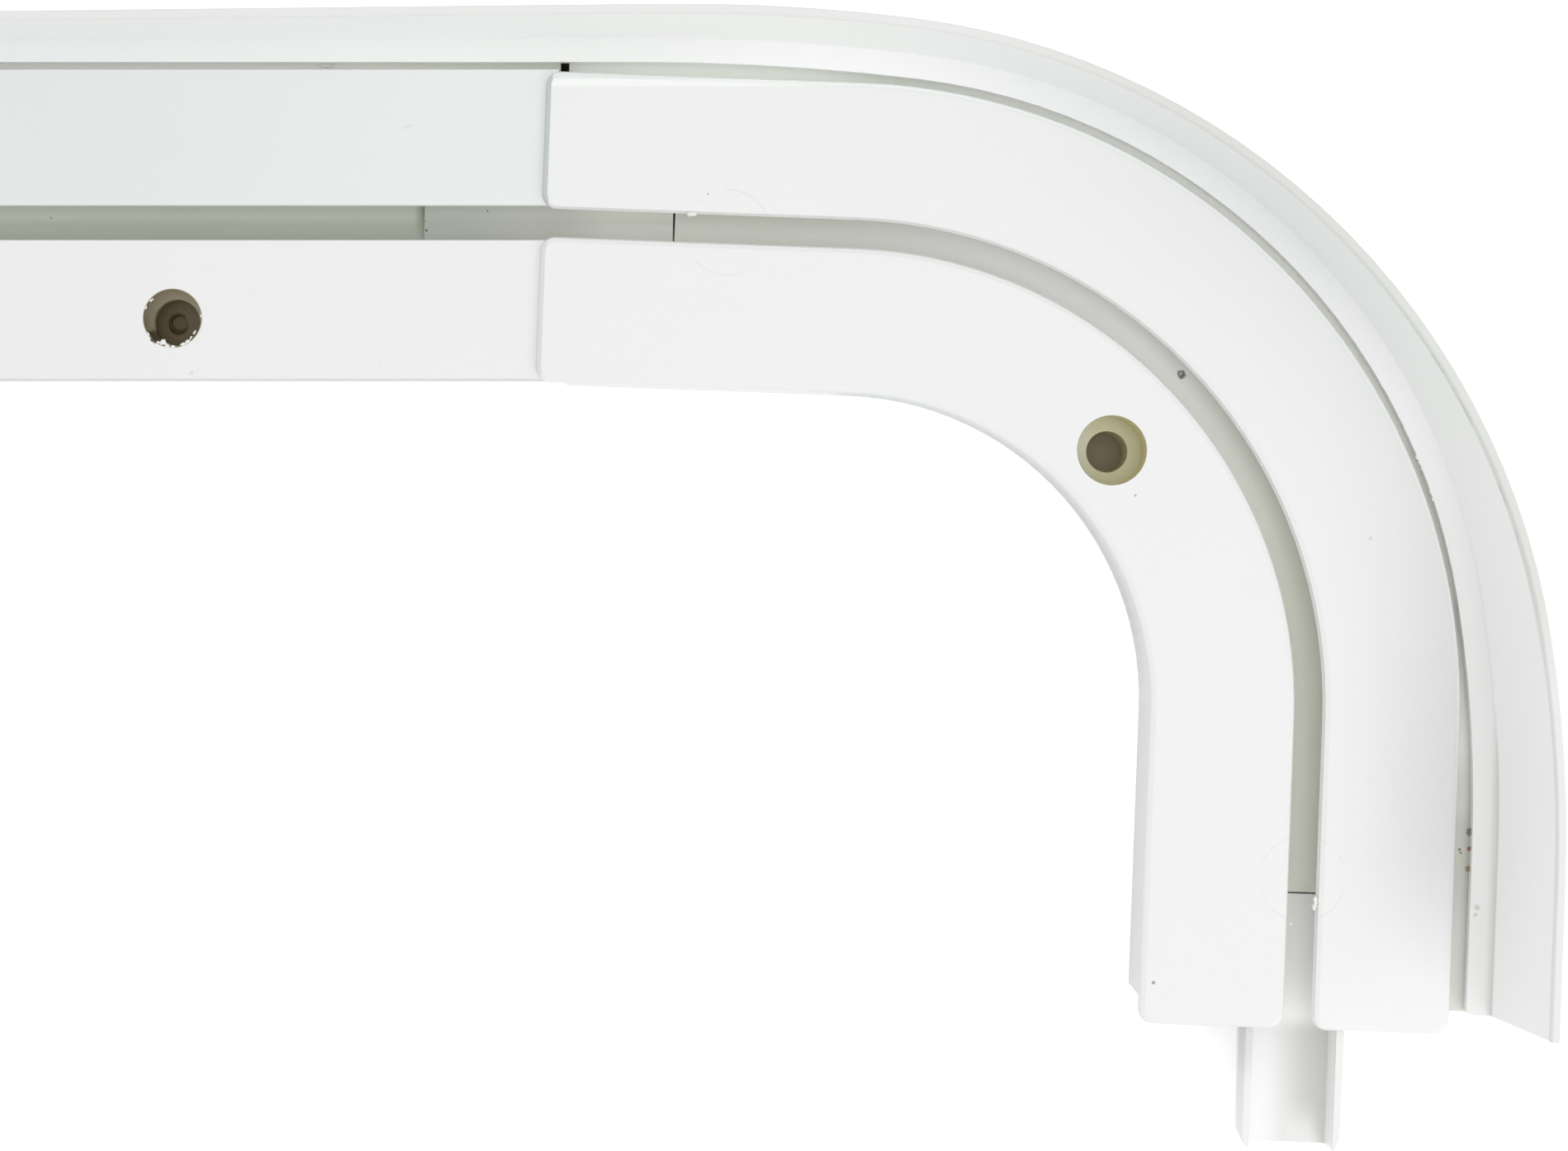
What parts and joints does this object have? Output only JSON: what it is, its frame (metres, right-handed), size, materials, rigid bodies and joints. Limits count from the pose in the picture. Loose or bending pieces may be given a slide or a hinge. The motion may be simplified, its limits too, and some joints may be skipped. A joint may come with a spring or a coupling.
{
  "type": "curtain track",
  "caption": "Ceiling curtain track with a moulded right-angle corner, slot for gliders, joiners and a beaded front fascia strip.",
  "frame": {"origin": "axis of the corner's screw hole at the ceiling face", "axes": "+Z from the ceiling face towards the room, +X along the straight track towards the corner, +Y towards the fascia at the front; turned half round about X, the part hangs as it does on a ceiling"},
  "size_m": [0.2824, 0.1819, 0.036],
  "materials": {
    "track_pvc": "extruded, slightly yellowed white, satin",
    "corner_pvc": "moulded white, fine satin",
    "joiner_pvc": "extruded white, satin",
    "fascia_pvc": "extruded white, satin, soiled along the bead"
  },
  "bodies": {
    "root": {"straight_track": "track_pvc", "moulded_corner": "corner_pvc", "track_joiner": "joiner_pvc", "end_joiner": "joiner_pvc", "fascia_strip": "fascia_pvc"}
  },
  "joints": []
}
